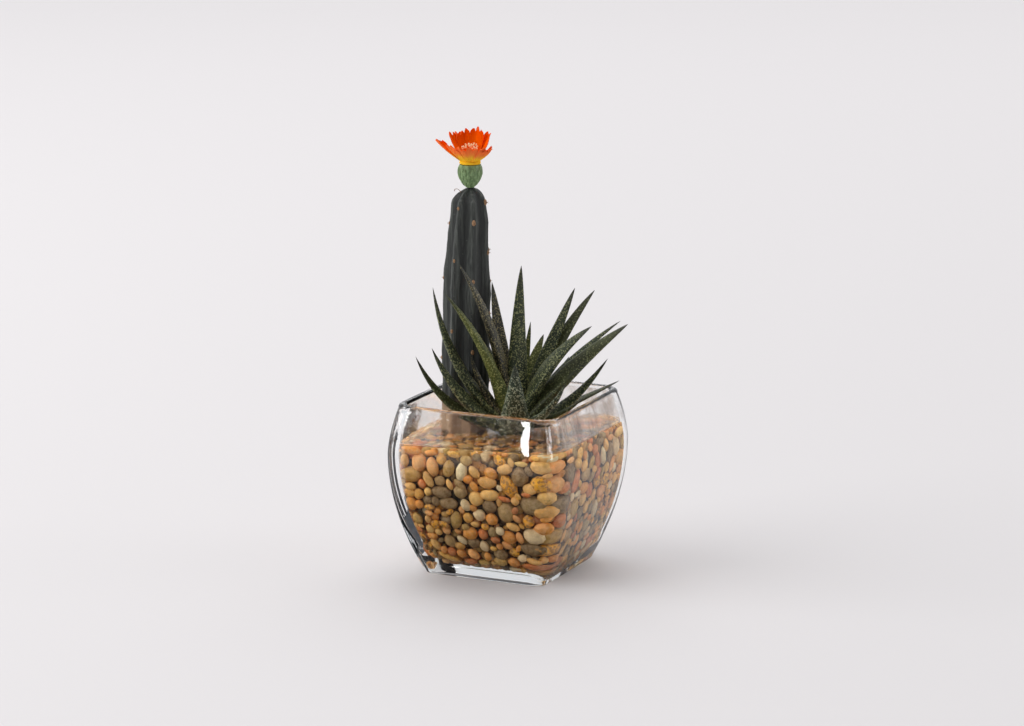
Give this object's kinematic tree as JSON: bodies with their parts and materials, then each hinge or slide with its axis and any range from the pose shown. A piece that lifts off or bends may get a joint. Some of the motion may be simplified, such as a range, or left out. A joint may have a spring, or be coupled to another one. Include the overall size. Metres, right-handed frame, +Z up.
{
  "type": "glass plant terrarium",
  "caption": "Bulged square glass bowl of river pebbles set in clear resin, holding a ribbed column cactus with an orange flower and a spiky speckled rosette.",
  "frame": {"origin": "middle of the bowl's flat underside", "axes": "+Z up, along the cactus; the bowl's four walls face +X, -X, +Y and -Y; the cactus stands on the -X side"},
  "size_m": [0.1246, 0.114, 0.2589],
  "materials": {
    "bowl_glass": "thick clear polished glass",
    "clear_resin": "clear set casting resin, smooth level top",
    "river_pebbles": "rounded river pebbles, wet look, tan, amber, cream and grey-brown",
    "cactus_skin": "dark grey-green ribbed skin with fine upright streaks",
    "receptacle_skin": "soft green, ribbed and scaled",
    "petal": "orange-red frayed petals, yellow at the base",
    "stamen": "pale cream threads with small knobs",
    "crown_skin": "satin green",
    "leaf_green": "satin leaf skin with raised pale speckles",
    "leaf_lime": "satin leaf skin with raised pale speckles",
    "leaf_brown": "satin leaf skin with raised pale speckles",
    "leaf_blue": "satin leaf skin with raised pale speckles",
    "leaf_dark": "satin leaf skin with raised pale speckles"
  },
  "bodies": {
    "root": {"glass_bowl": "bowl_glass", "clear_fill": "clear_resin", "gravel_bed": "river_pebbles", "cactus_column": "cactus_skin", "flower_receptacle": "receptacle_skin", "flower_petals": "petal", "flower_stamens": "stamen", "rosette_crown": "crown_skin", "leaf_front": "leaf_blue", "leaf_front_right_small": "leaf_blue", "leaf_front_left_tall": "leaf_lime", "leaf_middle_tall": "leaf_green", "leaf_right_long": "leaf_dark", "leaf_right_speckled": "leaf_green", "leaf_left_tall_brown": "leaf_brown", "leaf_left_tall": "leaf_green", "leaf_left_low": "leaf_green", "leaf_left_lowest": "leaf_dark", "leaf_right_low": "leaf_green", "leaf_left_upright": "leaf_brown", "leaf_back_right_tall": "leaf_green", "leaf_back_right_leaning": "leaf_dark", "leaf_left_short_dark": "leaf_brown", "leaf_back_short": "leaf_lime", "leaf_back_slim": "leaf_lime", "leaf_back_inner": "leaf_green", "leaf_back_right_slim": "leaf_green", "leaf_back_right_lowest": "leaf_dark", "leaf_back_low": "leaf_green", "leaf_back_left": "leaf_green", "leaf_back_right_low": "leaf_blue", "leaf_right_under": "leaf_dark"}
  },
  "joints": []
}
